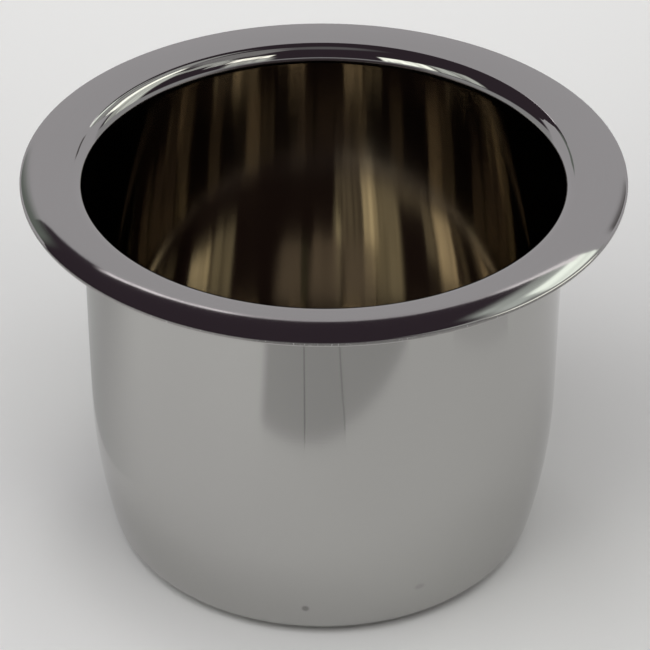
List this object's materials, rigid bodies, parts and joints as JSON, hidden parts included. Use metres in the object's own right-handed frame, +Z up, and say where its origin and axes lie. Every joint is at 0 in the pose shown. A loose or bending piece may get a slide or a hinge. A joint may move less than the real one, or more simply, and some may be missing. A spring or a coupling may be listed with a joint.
{
  "type": "deep drawn metal cup",
  "caption": "Round deep drawn stainless steel cup with a wide crowned flange, dropped into a hole in a table or armrest to hold a drink.",
  "frame": {"origin": "centre of the underside of the flat base", "axes": "+Z up along the cup's axis, out of its mouth; X and Y are free, because the cup is round"},
  "size_m": [0.105, 0.105, 0.073],
  "materials": {
    "polished_steel": "polished"
  },
  "bodies": {
    "root": {"cup": "polished_steel"}
  },
  "joints": []
}
